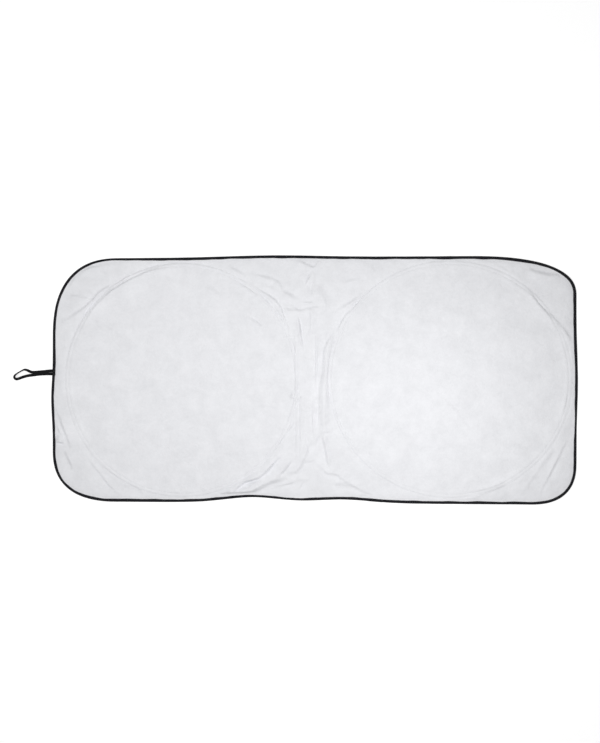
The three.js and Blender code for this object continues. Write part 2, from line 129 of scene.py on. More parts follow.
# Stitches. The profile gives places along a stitch and the thread's height there, as shares of the
# stitch's length and of the thread's radius.
STITCH_LENGTH = 2.7
STITCH_GAP = 0.7
STITCH_PROFILE = ((0.0, -0.6), (0.22, 0.75), (0.78, 0.75), (1.0, -0.6))
STITCH_SINK = 0.15
STITCH_LOOK_AHEAD = 0.5
THREAD_RADIUS = 0.22
THREAD_SIDES = 5
BINDING_STITCH_INSET = 1.7
TACK_PLACES = (1.5, 3.0, 4.5, 6.0)
TACK_INSET = 0.8
TACK_POINTS = 8

# Camera: the photograph was taken from above, a little to the right of the panel's middle
CAMERA_DISTANCE = 3.0
CAMERA_TILT = math.radians(3.14)
CAMERA_LENS = 50.9
CAMERA_SENSOR = 36.0
CAMERA_TARGET = (-0.0314, 0.0216)

# Light: the world's strength on the object, and the glow that the camera sees on the floor
WORLD_LIGHT = 0.515
FLOOR_GLOW = 0.45
FLOOR_SIZE = 14.0
FLOOR_DROP = 0.0003

# How sharply the cloth drops beside each wire: degrees round the hoop, and the share of the drop
# that is over by the rows of stitches. The rest is a long slope.
RIDGE_SHARPNESS = {
    "left": ((-180, 0.4), (-150, 0.4), (-120, 0.7), (-85, 0.55), (-45, 0.75), (0, 0.8), (50, 0.9),
             (90, 0.9), (130, 1.0), (160, 0.8), (180, 0.4)),
    "right": ((-180, 0.8), (-140, 0.75), (-110, 0.5), (-60, 0.35), (-20, 0.3), (20, 0.3), (50, 0.5),
              (80, 0.5), (110, 0.6), (140, 0.9), (180, 0.8)),
}
RIDGE_TOP = 0.9
RIDGE_REACH = 24.0

# The cloth is pinched at the rows of stitches and puffed up beside them, and lies in a flat disc
# inside each hoop
STITCH_PINCH = 0.3
PINCH_REACH = 1.6
CHANNEL_PUFF = 0.8
PUFF_OFFSET = 10.0
PUFF_REACH = 2.8
DISC_EDGE = CHANNEL_STITCH_OFFSET + 1.5
DISC_MARGIN = 30.0
DISC_LIFT = 0.35

# Random waves, each with its height or share, its length and the seed of its draws
BINDING_WAVES = ((0.35, 130.0, 21), (0.35, 45.0, 22))
PUFF_WAVES = ((0.6, 120.0, 41),)
FOLD_WAVES = ((0.22, 65.0, 31),)
LOOSE_WAVES = ((0.9, 90.0, 3), (0.35, 32.0, 5))
DISC_WAVES = ((0.25, 110.0, 11), (0.1, 40.0, 12))
WAVE_COUNT = 9

# Folds. A fold is a flank along a route, with the cloth falling away gently behind it. Each line
# gives its rise in millimetres (towards the left of the route, or towards the right where the
# number is negative), half the flank's width, how far the cloth takes to fall away, and the route.
# A route's points are distances inwards from the corner that its heading names. Where the heading
# has 0 for x they are measured from the line between the hoops, whose x is FOLD_MIDDLE, and where
# it has 0 for y from the panel's centre line.
FOLDS = {
    (-1, 1): (
        (-6.5, 5, 16, ((25, 187), (66, 162), (98, 139), (119, 119), (137, 99), (173, 79), (201, 65),
             (244, 35))),
        (-11.0, 4, 24, ((75, 212), (87, 184), (102, 162), (124, 135), (149, 110), (174, 92), (203, 76),
             (239, 55), (282, 37), (318, 26), (358, 19))),
        (-3.5, 3.5, 9, ((250, 42), (282, 30), (310, 19), (339, 13))),
        (-5.0, 4, 14, ((50, 106), (64, 108), (89, 113), (116, 120))),
        (-4.0, 5, 10, ((48, 92), (58, 60), (72, 40), (104, 28), (139, 23), (168, 15))),
        (-3.0, 6, 14, ((200, 225), (165, 200), (120, 180), (95, 180))),
    ),
    (-1, -1): (
        (6.5, 4.5, 18, ((8, 266), (20, 245), (28, 222), (35, 205), (42, 188), (48, 170), (53, 150))),
        (2.5, 3.5, 8, ((12, 222), (20, 203), (30, 188))),
        (6.5, 5, 18, ((36, 145), (45, 125), (52, 110), (58, 90))),
        (12.0, 4, 14, ((9, 171), (35, 171))),
        (3.0, 4, 12, ((105, 125), (125, 98), (140, 80), (155, 60), (170, 42), (195, 20))),
        (2.5, 4, 9, ((103, 146), (125, 120), (150, 99), (170, 85), (195, 70))),
        (4.5, 7, 18, ((205, 52), (240, 44), (268, 26))),
    ),
    (1, 1): (
        (-6.5, 5, 20, ((150, 84), (131, 99), (115, 121), (103, 138), (83, 158), (63, 176), (44, 200),
             (14, 238))),
        (-8.0, 7, 16, ((135, 38), (110, 47), (80, 55), (45, 52))),
        (-1.0, 4, 10, ((218, 28), (195, 42), (183, 60))),
    ),
    (1, -1): (
        (-2.5, 4, 14, ((16, 206), (25, 185), (45, 145), (65, 103), (85, 65), (98, 38), (101, 20))),
        (-1.5, 5, 12, ((62, 155), (80, 130), (100, 105), (125, 68), (140, 48), (160, 24))),
        (-4.0, 4.5, 12, ((165, 66), (200, 53), (240, 36), (290, 18), (315, 11))),
        (-2.5, 4.5, 10, ((170, 72), (200, 61), (240, 45), (300, 34))),
        (-2.0, 4, 10, ((26, 310), (32, 270), (40, 250))),
    ),
    (0, 1): (
        (-5.0, 3.5, 10, ((-217, 58), (-182, 74), (-152, 94), (-115, 117), (-94, 140), (-86, 162),
             (-72, 197), (-58, 230), (-49, 258))),
        (-5.0, 3.5, 9, ((-222, 72), (-180, 92), (-150, 112), (-136, 123), (-115, 148), (-90, 180),
             (-79, 208))),
        (-4.0, 5, 16, ((-185, 46), (-136, 57), (-107, 66), (-96, 74), (-83, 98), (-50, 113))),
        (-3.2, 5, 14, ((-243, 18), (-225, 34), (-190, 52))),
        (-2.0, 4, 10, ((-150, 78), (-111, 89), (-89, 99))),
        (-5.0, 4.5, 14, ((-42, 8), (-27, 17), (-10, 25), (2, 30), (11, 20), (18, 9))),
        (4.0, 4, 12, ((-2, 42), (-10, 56), (-18, 72), (-23, 84))),
        (3.5, 3, 7, ((-1, 46), (-1, 80), (-2, 118))),
        (-3.2, 4.5, 16, ((-88, 137), (-64, 138), (-40, 151), (-18, 149), (7, 144), (38, 145))),
        (-3.5, 3, 9, ((-30, 131), (-14, 129), (2, 130))),
        (-6.0, 9, 20, ((24, 85), (31, 112), (35, 135), (33, 158))),
        (-6.0, 9, 16, ((-78, 100), (-66, 108), (-52, 118), (-36, 122))),
        (-5.0, 5, 12, ((-80, 146), (-62, 152), (-44, 150), (-30, 158))),
        (6.0, 6.5, 9, ((-5, 148), (-6, 175), (-6, 200), (-8, 225))),
        (-3.5, 5, 14, ((60, 160), (76, 150), (88, 143), (114, 126), (149, 101))),
        (-8.0, 4.5, 14, ((56, 258), (64, 237), (78, 196), (96, 166), (128, 134), (150, 112))),
        (-4.5, 3.5, 8, ((-43, 166), (-39, 182), (-33, 222), (-29, 258))),
        (-3.0, 5, 14, ((82, 77), (100, 70), (114, 67), (138, 64))),
        (-1.8, 5, 12, ((163, 18), (172, 35), (181, 47))),
        (-6.0, 6, 16, ((-195, 168), (-170, 180), (-140, 202))),
        (-5.5, 9, 18, ((-300, 80), (-280, 98), (-262, 112))),
    ),
    (0, 0): (
        (5.0, 6.5, 10, ((-60, 118), (-53, 95), (-50, 60), (-48, 20), (-48, -30))),
        (-1.5, 3.5, 8, ((-29, 92), (-24, 70), (-20, 30), (-19, -20))),
        (-5.0, 3.5, 8, ((-42, 178), (-38, 150), (-33, 115), (-24, 80))),
        (4.5, 3, 7, ((-54, 150), (-52, 110), (-50, 70), (-50, 20), (-51, -30))),
        (2.5, 3, 6, ((-38, -40), (-36, -90), (-35, -150), (-36, -215))),
        (2.5, 3, 6, ((-50, -40), (-46, -100), (-47, -150), (-46, -200), (-48, -235))),
        (-4.0, 3, 6, ((-22, -150), (-18, -180), (-12, -215))),
        (4.5, 4, 12, ((69, 152), (60, 137), (50, 119), (40, 102), (33, 85), (31, 45))),
        (5.0, 3, 6, ((8, 130), (9, 96), (9, 66), (9, 30), (7, 5), (8, -28))),
        (12.0, 10, 14, ((46, 150), (40, 105), (35, 60), (31, 20), (28, -10), (26, -60), (26, -100),
             (27, -150), (31, -185))),
        (3.5, 3, 6, ((19, -5), (18, -50), (17, -100), (15, -135))),
        (3.5, 3.5, 8, ((47, 5), (50, -25), (56, -65), (64, -105))),
        (4.5, 3.5, 6, ((1, -45), (1, -90), (0, -130), (2, -160))),
        (1.5, 3.5, 7, ((-38, -66), (-38, -120), (-38, -190), (-40, -225))),
        (11.0, 7, 14, ((-64, -50), (-48, -54), (-34, -56))),
        (1.5, 5, 20, ((-479, -85), (-429, -57), (-350, -39))),
        (1.5, 5, 18, ((-236, -74), (-165, -74), (-86, -79))),
        (1.2, 5, 20, ((-407, -242), (-293, -219))),
        (-1.5, 5, 20, ((320, -14), (378, -57), (449, -142))),
    ),
    (0, -1): (
        (-4.5, 5, 14, ((58, 203), (35, 203), (19, 192), (10, 178), (7, 162))),
        (-7.0, 6, 14, ((2, 188), (-5, 172), (-14, 155), (-22, 132), (-34, 106), (-46, 90), (-60, 86),
             (-78, 86))),
        (-3.0, 4, 10, ((7, 125), (-5, 121), (-18, 117), (-28, 112))),
        (4.0, 4.5, 14, ((2, 118), (10, 111), (20, 104), (31, 94), (43, 84), (66, 82), (88, 66), (112, 53),
            (137, 38), (170, 25))),
        (6.0, 8, 18, ((60, 55), (88, 55), (113, 49), (130, 40))),
        (5.0, 4, 10, ((28, 196), (31, 182), (34, 165), (39, 139), (45, 102))),
        (-6.5, 4.5, 12, ((-64, 125), (-67, 112), (-76, 99), (-92, 83), (-106, 73))),
        (-16.0, 9, 20, ((-72, 72), (-91, 68), (-115, 61), (-136, 52), (-160, 39), (-180, 29), (-205, 22))),
        (-14.0, 5, 10, ((-155, 44), (-175, 34), (-196, 29), (-218, 28), (-245, 27))),
        (-12.0, 4.5, 12, ((-88, 138), (-97, 129), (-116, 108), (-136, 86), (-156, 72), (-197, 58),
             (-208, 49), (-226, 33), (-262, 24))),
        (-7.0, 3, 7, ((-134, 72), (-146, 63), (-169, 49), (-184, 37), (-214, 29))),
        (-4.5, 3.5, 12, ((-46, 65), (-60, 58), (-76, 53), (-99, 47), (-118, 45))),
        (-2.5, 3, 8, ((-27, 62), (-33, 50), (-40, 38))),
        (-5.0, 4, 9, ((-52, 232), (-57, 225), (-71, 204), (-87, 184), (-104, 163))),
        (-3.5, 8, 14, ((-8, 66), (-25, 64), (-48, 66))),
    ),
}
FOLD_MIDDLE = 5.0

# In front of each flank lies a shallow trough, given by its share of the rise and its place in
# half widths. FOLD_MOST is the height that overlapping folds don't pass.
FOLD_FOOT = 0.25
FOLD_FOOT_AT = 1.4
FOLD_TAPER = 0.6
FOLD_MOST = 17.0
FOLD_REACH = {"flanks": 3.0, "falls": 2.5}
FOLD_STEP = 5.0
FOLD_CURVE_STEPS = 8
FOLD_FEWEST_POINTS = 4

# Where the cloth is held: folds and loose cloth calm down near the wires, by millimetres outside
# them, and near the binding, by millimetres inside the panel's edge
FOLD_CALM = (2.0, 8.0)
FOLD_CALM_SHARE = 0.55
LOOSE_LIFT = 2.0
LOOSE_CALM = (5.5, 16.0)
EDGE_FOLD_SHARE = 0.35
EDGE_FOLD_REACH = 17.0
EDGE_LEVEL = (10.0, 18.0)

# The cloth's points: rows along its edge, its channels and its folds, by their distance from each
# line, and an even fill of triangles between them. Each kind keeps clear of the kinds before it.
EDGE_ROWS = (4.5, 8.5, 11.5, 14.5)
CHANNEL_ROWS = (-20, -13, -9.5, -7.5, -6.3, -5.4, -4.4, -3.2, -2.1, -1, 0, 1, 2.1, 3.2, 4.4, 5.4,
                6.3, 7.5)
FOLD_ROWS = (-9, -6, -4, -2.8, -1.6, -0.5, 0.5, 1.6, 2.8, 4, 6, 9, 13)
ROW_STEP = 5.0
ROWS_FROM_EDGE = 1.5
FILL_FROM_EDGE = 16.0
FOLDS_FROM_WIRE = 8.5
LOOSE_FROM_WIRE = 9.0
DISC_FROM_WIRE = 22.0
CHANNEL_POINT_GAP = 1.0
FOLD_POINT_GAP = 1.9
LOOSE_FILL = 7.5
LOOSE_POINT_GAP = 4.0
DISC_FILL = 14.0
DISC_POINT_GAP = 7.0
FILL_BEYOND = 10.0
TRIANGLES_INSIDE_RIM = 1
MERGE_DISTANCE = 0.001

# The elastic's route from its lower sewn end: out from the panel's end, up from the centre line,
# and the degrees that the band leans from flat
ELASTIC_ROUTE = (
    (-8, 17.5, 0),
    (2, 17.5, 0),
    (23, 17.2, 0),
    (43, 16, 0),
    (57, 14.2, 2),
    (70, 12.6, 10),
    (80, 10.4, 18),
    (91, 7, 24),
    (100, 3.6, 26),
    (106.5, 2.3, 26),
    (111, 4.2, 25),
    (112.9, 8.4, 26),
    (111, 13, 38),
    (105, 18, 52),
    (97, 23, 58),
    (90, 27, 58),
    (83, 29.8, 52),
    (76, 28.9, 44),
    (70, 26, 32),
    (63, 22.9, 20),
    (55, 22.3, 15),
    (43, 23, 13.5),
    (23, 24.8, 12),
    (12, 25.9, 8),
    (2, 26.3, 0),
    (-8, 26.3, 0),
)
ELASTIC_DROP = (4.0, 24.0)

# Heights of the stack, from the surface that the sunshade lies on
LAY_HEIGHT = BINDING_THICKNESS + CLEARANCE
WIRE_HEIGHT = TAPE_THICKNESS + CLEARANCE + WIRE_RADIUS
FERRULE_RADIUS = WIRE_RADIUS + CLEARANCE + FERRULE_WALL
JOINT_LIFT = FERRULE_RADIUS - WIRE_RADIUS
CREST_HEIGHT = WIRE_HEIGHT + WIRE_RADIUS + CLEARANCE
BINDING_TOP = LAY_HEIGHT + CLOTH_THICKNESS + CLEARANCE + BINDING_THICKNESS


# Maths for the forms

def smoothstep(value, low, high):
    share = np.clip((value - low) / (high - low), 0.0, 1.0)
    return share * share * (3.0 - 2.0 * share)


def bump(value, reach):
    return np.exp(-0.5 * (value / reach) ** 2)


def arc_lengths(points):
    return np.concatenate(([0.0], np.cumsum(np.linalg.norm(np.diff(points, axis=0), axis=1))))


def evenly(points, count):
    """The same line with count points at equal steps."""
    lengths = arc_lengths(points)
    wanted = np.linspace(0.0, lengths[-1], count)
    return np.stack([np.interp(wanted, lengths, points[:, k]) for k in range(points.shape[1])], 1)


def smooth_route(points, steps):
    """A centripetal Catmull-Rom curve through plan points, with steps pieces between each two.
    Further columns, such as a lean, are carried along."""
    points = np.array(points, float)
    padded = np.vstack((2 * points[0] - points[1], points, 2 * points[-1] - points[-2]))
    spans = np.linalg.norm(np.diff(padded[:, :2], axis=0), axis=1)
    knots = np.concatenate(([0.0], np.cumsum(spans ** 0.5)))
    line = []
    for i in range(len(points) - 1):
        t0, t1, t2, t3 = knots[i:i + 4]
        p0, p1, p2, p3 = padded[i:i + 4]
        for t in np.linspace(t1, t2, steps, endpoint=False):
            a1 = (t1 - t) / (t1 - t0) * p0 + (t - t0) / (t1 - t0) * p1
            a2 = (t2 - t) / (t2 - t1) * p1 + (t - t1) / (t2 - t1) * p2
            a3 = (t3 - t) / (t3 - t2) * p2 + (t - t2) / (t3 - t2) * p3
            b1 = (t2 - t) / (t2 - t0) * a1 + (t - t0) / (t2 - t0) * a2
            b2 = (t3 - t) / (t3 - t1) * a2 + (t - t1) / (t3 - t1) * a3
            line.append((t2 - t) / (t2 - t1) * b1 + (t - t1) / (t2 - t1) * b2)
    line.append(points[-1])
    return np.array(line)


def left_of(points, closed):
    """Level unit vectors to the left of travel along a line."""
    if closed:
        along = np.roll(points, -1, axis=0) - np.roll(points, 1, axis=0)
    else:
        along = np.gradient(points, axis=0)
    left = np.stack((-along[:, 1], along[:, 0]), 1)
    return left / np.linalg.norm(left, axis=1)[:, None]


def nearest_on(line, xy, closed):
    """For each plan point, its signed distance from a line (positive to the left) and how far
    along the line, in steps of it, its nearest place is."""
    best = np.full(len(xy), np.inf)
    signed = np.zeros(len(xy))
    along = np.zeros(len(xy))
    for i in range(len(line) if closed else len(line) - 1):
        start = line[i]
        step = line[(i + 1) % len(line)] - start
        away = xy - start
        share = np.clip((away @ step) / (step @ step), 0.0, 1.0)
        gap = away - share[:, None] * step
        distance = np.einsum("ij,ij->i", gap, gap)
        closer = distance < best
        side = np.sign(step[0] * away[:, 1] - step[1] * away[:, 0])
        best = np.where(closer, distance, best)
        signed = np.where(closer, side * np.sqrt(distance), signed)
        along = np.where(closer, i + share, along)
    return signed, along


def ripples(xy, length, seed):
    """Soft random waves of about one length, between roughly -1 and 1."""
    draws = np.random.default_rng(seed)
    total = np.zeros(len(xy))
    for _ in range(WAVE_COUNT):
        angle = draws.uniform(0, 2 * math.pi)
        pitch = 2 * math.pi / (length * draws.uniform(0.7, 1.5))
        phase = draws.uniform(0, 2 * math.pi)
        total += np.sin(pitch * (xy[:, 0] * math.cos(angle) + xy[:, 1] * math.sin(angle)) + phase)
    return total / math.sqrt(WAVE_COUNT)


def waves(xy, parts):
    """Ripples of several sizes added up."""
    return sum(size * ripples(xy, length, seed) for size, length, seed in parts)


# Meshes

def make_mesh(name, positions, faces):
    mesh = bpy.data.meshes.new(name)
    mesh.from_pydata((positions * MM).tolist(), [], faces)
    mesh.validate()
    mesh.shade_smooth()
    thing = bpy.data.objects.new(name, mesh)
    bpy.context.scene.collection.objects.link(thing)
    return thing


def place(thing, material):
    """Gives a piece its material and puts it in the frame's root body."""
    thing.data.materials.append(material)
    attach(thing, "root")
    return thing


def tube_faces(rings, sides, closed, first=0):
    """Faces of a tube whose points are stored ring by ring, with both ends if it isn't closed."""
    faces = []
    for i in range(rings if closed else rings - 1):
        here = first + i * sides
        there = first + (i + 1) % rings * sides
        for k in range(sides):
            after = (k + 1) % sides
            faces.append((here + k, here + after, there + after, there + k))
    if not closed:
        last = first + (rings - 1) * sides
        faces.append(tuple(reversed(range(first, first + sides))))
        faces.append(tuple(range(last, last + sides)))
    return faces


def sweep(name, centres, lefts, heights, sections, closed):
    """A section carried along a line, or one section for each of its points. A section's corners
    are (to the left, up) and run anticlockwise."""
    sections = np.asarray(sections, float)
    count = len(centres)
    sides = sections.shape[-2]
    sections = np.broadcast_to(sections, (count, sides, 2))
    positions = np.zeros((count, sides, 3))
    positions[:, :, :2] = centres[:, None, :2] + lefts[:, None, :] * sections[:, :, :1]
    positions[:, :, 2] = heights[:, None] + sections[:, :, 1]
    return make_mesh(name, positions.reshape(-1, 3), tube_faces(count, sides, closed))


def round_section(radius, sides):
    turns = np.arange(sides) * 2 * math.pi / sides
    return np.stack((radius * np.cos(turns), radius * np.sin(turns)), 1)


# Outline of the panel, anticlockwise

def corner_line(corner):
    shares = np.linspace(0.0, 1.0, CORNER_POINTS)
    if corner["x"] * corner["y"] > 0:
        shares = shares[::-1]
    turns = shares * math.pi / 2
    power = 2.0 / CORNER_SQUARENESS
    sines = np.clip(np.sin(turns), 0.0, 1.0) ** power
    cosines = np.clip(np.cos(turns), 0.0, 1.0) ** power
    x = PANEL_LENGTH / 2 - corner["along"] * (1 - sines)
    y = PANEL_HEIGHT / 2 - corner["down"] * (1 - cosines)
    return np.stack((corner["x"] * x, corner["y"] * y), 1)


def bowed(points):
    """The outline's points, pushed by the bows of the edges that they lie on."""
    x = points[:, 0]
    y = points[:, 1]
    push_x = np.zeros(len(points))
    push_y = np.zeros(len(points))
    for bow in LONG_EDGE_BOWS:
        near = np.maximum(0.0, bow["y"] * y / (PANEL_HEIGHT / 2))
        push_y += bow["push"] * bump(x - bow["at"], bow["reach"]) * near
    for bow in END_BOWS:
        near = np.maximum(0.0, bow["x"] * x / (PANEL_LENGTH / 2))
        push_x += bow["push"] * bump(y - bow["at"], bow["reach"]) * near
    return np.stack((x + push_x, y + push_y), 1)


def panel_outline():
    lines = [corner_line(corner) for corner in CORNERS]
    shares = np.linspace(0.0, 1.0, SIDE_POINTS, endpoint=False)[1:, None]
    parts = []
    for i, line in enumerate(lines):
        after = lines[(i + 1) % len(lines)][0]
        parts += [line, line[-1] + shares * (after - line[-1])]
    plain = np.vstack(parts + [lines[0][:1]])
    return bowed(plain)


plain_outline = panel_outline()
CENTRING = -(plain_outline.min(0) + plain_outline.max(0)) / 2
closed_outline = plain_outline + CENTRING
outline = evenly(closed_outline, int(arc_lengths(closed_outline)[-1] / BINDING_STEP) + 1)[:-1]
inward = left_of(outline, True)


# Hoops, from the tapes that the frame holds

def read_hoop(side):
    low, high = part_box(f"channel_tape_{side}")
    return {
        "side": side,
        "x": (low.x + high.x) / 2 / MM,
        "y": (low.y + high.y) / 2 / MM,
        "wide": (high.x - low.x - TAPE_WIDTH * MM) / 2 / MM,
        "tall": (high.y - low.y - TAPE_WIDTH * MM) / 2 / MM,
        "joint": math.radians(JOINT_ANGLES[side]),
    }


HOOPS = (read_hoop("left"), read_hoop("right"))


def hoop_line(hoop, turns, offset):
    x = hoop["x"] + (hoop["wide"] + offset) * np.cos(turns)
    y = hoop["y"] + (hoop["tall"] + offset) * np.sin(turns)
    return np.stack((x, y), 1)


def hoop_offsets(hoop, xy):
    """How far points lie outside a hoop's line, and their angles on it."""
    away = xy - (hoop["x"], hoop["y"])
    turns = np.arctan2(away[:, 1] / hoop["tall"], away[:, 0] / hoop["wide"])
    rim = hoop_line(hoop, turns, 0.0) - (hoop["x"], hoop["y"])
    return np.linalg.norm(away, axis=1) - np.linalg.norm(rim, axis=1), turns


def ridge_sharpness(hoop, turns):
    """The share of the cloth's drop that is over by the stitches, at angles on a hoop."""
    angles, shares = zip(*RIDGE_SHARPNESS[hoop["side"]])
    wrapped = np.degrees(np.arctan2(np.sin(turns), np.cos(turns)))
    return np.interp(wrapped, angles, shares)


def joint_share(hoop, turns, margin):
    """1 over a hoop's sleeve and a margin beside it, falling to 0 along the wire."""
    turn = np.arctan2(np.sin(turns - hoop["joint"]), np.cos(turns - hoop["joint"]))
    beyond = np.abs(turn) * hoop["tall"] - FERRULE_LENGTH / 2 - margin
    return 1.0 - smoothstep(beyond, 0.0, JOINT_RAMP)


# Height of the cloth's underside

def fold_line(corner, route):
    """A fold's route as an even line in the frame's axes."""
    route = np.array(route, float)
    x = FOLD_MIDDLE + route[:, 0]
    y = CENTRING[1] + route[:, 1]
    if corner[0]:
        x = CENTRING[0] + corner[0] * (PANEL_LENGTH / 2 - route[:, 0])
    if corner[1]:
        y = CENTRING[1] + corner[1] * (PANEL_HEIGHT / 2 - route[:, 1])
    line = smooth_route(np.stack((x, y), 1), FOLD_CURVE_STEPS)
    return evenly(line, max(FOLD_FEWEST_POINTS, int(arc_lengths(line)[-1] / FOLD_STEP)))


FOLD_LINES = [
    (rise, flank, fall, fold_line(corner, route))
    for corner, folds in FOLDS.items()
    for rise, flank, fall, route in folds
]


def fold_heights(xy):
    """The folds' heights added up. Those that overlap approach FOLD_MOST and don't pass it."""
    total = np.zeros(len(xy))
    for rise, flank, fall, line in FOLD_LINES:
        spread = FOLD_REACH["falls"] * fall + FOLD_REACH["flanks"] * flank
        near = np.all((xy > line.min(0) - spread) & (xy < line.max(0) + spread), axis=1)
        signed, along = nearest_on(line, xy[near], False)
        behind = signed * math.copysign(1.0, rise)
        ends = np.sin(math.pi * np.clip(along / (len(line) - 1), 0.0, 1.0)) ** FOLD_TAPER
        raised = smoothstep(behind, -flank, flank) * np.exp(-(np.maximum(behind, 0.0) / fall) ** 2)
        foot = FOLD_FOOT * np.exp(-((behind + FOLD_FOOT_AT * flank) / flank) ** 2)
        total[near] += abs(rise) * ends * (raised - foot)
    total *= 1.0 + waves(xy, FOLD_WAVES)
    return FOLD_MOST * np.tanh(total / FOLD_MOST)


def cloth_heights(xy):
    """The underside's height over the surface, away from the binding."""
    calm = np.ones(len(xy))
    loose = np.ones(len(xy))
    ridge = np.zeros(len(xy))
    disc = np.zeros(len(xy))
    for hoop in HOOPS:
        offset, turns = hoop_offsets(hoop, xy)
        calm *= FOLD_CALM_SHARE + (1 - FOLD_CALM_SHARE) * smoothstep(np.abs(offset), *FOLD_CALM)
        loose *= smoothstep(offset, *LOOSE_CALM)
        crest = CREST_HEIGHT + 2 * JOINT_LIFT * joint_share(hoop, turns, JOINT_MARGIN) - LAY_HEIGHT
        sharp = ridge_sharpness(hoop, turns)
        beside = np.abs(offset)
        steep = 1.0 - smoothstep(beside, RIDGE_TOP, CHANNEL_STITCH_OFFSET)
        gentle = 1.0 - smoothstep(beside, RIDGE_TOP, RIDGE_REACH)
        pinch = -STITCH_PINCH * sharp * bump(beside - CHANNEL_STITCH_OFFSET, PINCH_REACH)
        puff = CHANNEL_PUFF * (1.0 + waves(xy, PUFF_WAVES)) * bump(beside - PUFF_OFFSET, PUFF_REACH)
        ridge += crest * (sharp * steep + (1.0 - sharp) * gentle) + pinch + np.maximum(0.0, puff)
        disc = np.maximum(disc, smoothstep(-offset, DISC_EDGE, DISC_MARGIN))
    inset = nearest_on(outline[::3], xy, True)[0]
    freed = smoothstep(inset, BINDING_WIDTH, EDGE_FOLD_REACH)
    near_edge = EDGE_FOLD_SHARE + (1 - EDGE_FOLD_SHARE) * freed
    lift = (LOOSE_LIFT + waves(xy, LOOSE_WAVES)) * loose
    folds = fold_heights(xy) * calm
    heights = LAY_HEIGHT + ridge + np.maximum(0.0, (lift + folds) * near_edge)
    inside = DISC_LIFT + waves(xy, DISC_WAVES) + folds
    return heights * (1 - disc) + np.maximum(0.0, inside) * disc


edge_heights = cloth_heights(outline)


def underside(xy):
    """The underside's height everywhere. Within the binding the cloth lies level across its edge,
    at the edge's own height."""
    inset, along = nearest_on(outline, xy, True)
    looped = np.append(edge_heights, edge_heights[0])
    at_edge = np.interp(along, np.arange(len(looped)), looped)
    free = smoothstep(inset, *EDGE_LEVEL)
    return at_edge * (1 - free) + cloth_heights(xy) * free


# The cloth

def even_fill(step):
    """Points of a triangle grid over the whole panel."""
    half_length = PANEL_LENGTH / 2 + FILL_BEYOND
    half_height = PANEL_HEIGHT / 2 + FILL_BEYOND
    rise = step * math.sqrt(3) / 2
    points = []
    for row, y in enumerate(np.arange(-half_height, half_height, rise)):
        x = np.arange(-half_length, half_length, step) + step / 2 * (row % 2)
        points.append(np.stack((x, np.full(len(x), y)), 1))
    return np.vstack(points)


def inside_edge(xy, margin):
    return xy[nearest_on(outline[::2], xy, True)[0] > margin]


def away_from(xy, others, gap):
    """The points that are further than a gap from all the others."""
    tree = kdtree.KDTree(len(others))
    for k, (x, y) in enumerate(others):
        tree.insert((x, y, 0.0), k)
    tree.balance()
    clear = [tree.find((x, y, 0.0))[2] > gap for x, y in xy]
    return xy[np.array(clear, bool)]


def outside_wires(xy):
    """How far points lie outside the nearer hoop, and less than 0 inside it."""
    return np.min([hoop_offsets(hoop, xy)[0] for hoop in HOOPS], axis=0)


def cloth_plan():
    """The cloth's plan points, and how many of them are its rim."""
    edge = outline + inward * (BINDING_THICKNESS + CLEARANCE)
    plan = edge
    for inset in EDGE_ROWS:
        plan = np.vstack((plan, outline + inward * inset))
    for hoop in HOOPS:
        count = int(2 * math.pi * hoop["tall"] / ROW_STEP)
        turns = np.linspace(0.0, 2 * math.pi, count, endpoint=False)
        rows = np.vstack([hoop_line(hoop, turns, offset) for offset in CHANNEL_ROWS])
        rows = inside_edge(rows, ROWS_FROM_EDGE)
        plan = np.vstack((plan, away_from(rows, plan, CHANNEL_POINT_GAP)))
    for _, _, _, line in FOLD_LINES:
        left = left_of(line, False)
        rows = np.vstack([line + left * offset for offset in FOLD_ROWS])
        rows = inside_edge(rows[np.abs(outside_wires(rows)) > FOLDS_FROM_WIRE], FILL_FROM_EDGE)
        plan = np.vstack((plan, away_from(rows, plan, FOLD_POINT_GAP)))
    loose = even_fill(LOOSE_FILL)
    loose = inside_edge(loose[outside_wires(loose) > LOOSE_FROM_WIRE], FILL_FROM_EDGE)
    plan = np.vstack((plan, away_from(loose, plan, LOOSE_POINT_GAP)))
    disc = even_fill(DISC_FILL)
    disc = disc[outside_wires(disc) < -DISC_FROM_WIRE]
    plan = np.vstack((plan, away_from(disc, plan, DISC_POINT_GAP)))
    return plan, len(edge)


def cloth_mesh():
    """The cloth's underside and top, with a wall between them along its rim."""
    plan, rim = cloth_plan()
    ring = list(range(rim))
    points = [Vector(point) for point in plan.tolist()]
    result = geometry.delaunay_2d_cdt(points, [], [ring], TRIANGLES_INSIDE_RIM, MERGE_DISTANCE)
    plan = np.array([tuple(point) for point in result[0]])
    faces = [tuple(face) for face in result[2]]
    low = underside(plan)
    count = len(plan)
    positions = np.zeros((2 * count, 3))
    positions[:count, :2] = plan
    positions[count:, :2] = plan
    positions[:count, 2] = low
    positions[count:, 2] = low + CLOTH_THICKNESS
    under = [tuple(reversed(face)) for face in faces]
    tops = [tuple(k + count for k in face) for face in faces]
    sides = set()
    for face in faces:
        for k in range(3):
            sides.add((face[k], face[(k + 1) % 3]))
    walls = [(a, b, b + count, a + count) for a, b in sides if (b, a) not in sides]
    return make_mesh("cloth_panel", positions, tops + under + sorted(walls))


# Binding: a folded tape, a little uneven in width, lapped over itself at its join

